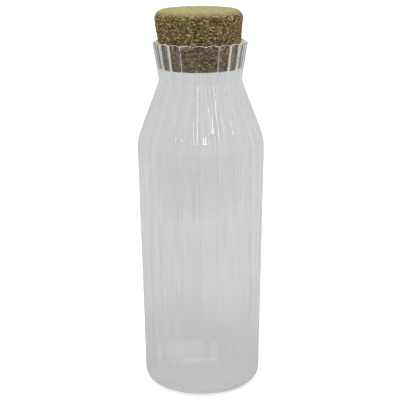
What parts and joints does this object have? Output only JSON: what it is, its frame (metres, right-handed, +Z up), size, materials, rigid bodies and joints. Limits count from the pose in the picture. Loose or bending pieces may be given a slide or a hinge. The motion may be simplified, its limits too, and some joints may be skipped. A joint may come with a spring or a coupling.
{
  "type": "glass carafe with cork stopper",
  "caption": "Tall clear glass carafe with upright flutes, a sloping shoulder and a flared mouth, stopped by a tapered cork that lifts out; it keeps and pours water or other drinks.",
  "frame": {"origin": "on the carafe's axis, in the plane of the foot ring that it stands on", "axes": "+Z up along the axis; -Y is the front, with a rib 9 degrees to the viewer's left of it; +X to the viewer's right"},
  "size_m": [0.0932, 0.0924, 0.281],
  "materials": {
    "clear_glass": "polished",
    "cork": "matte"
  },
  "bodies": {
    "carafe": {"glass_carafe": "clear_glass"},
    "stopper": {"cork_stopper": "cork"}
  },
  "joints": [
    {"name": "stopper_lift", "type": "slide", "parent": "carafe", "child": "stopper", "axis": [0, 0, 1], "range_m": [0, 0.06]}
  ]
}
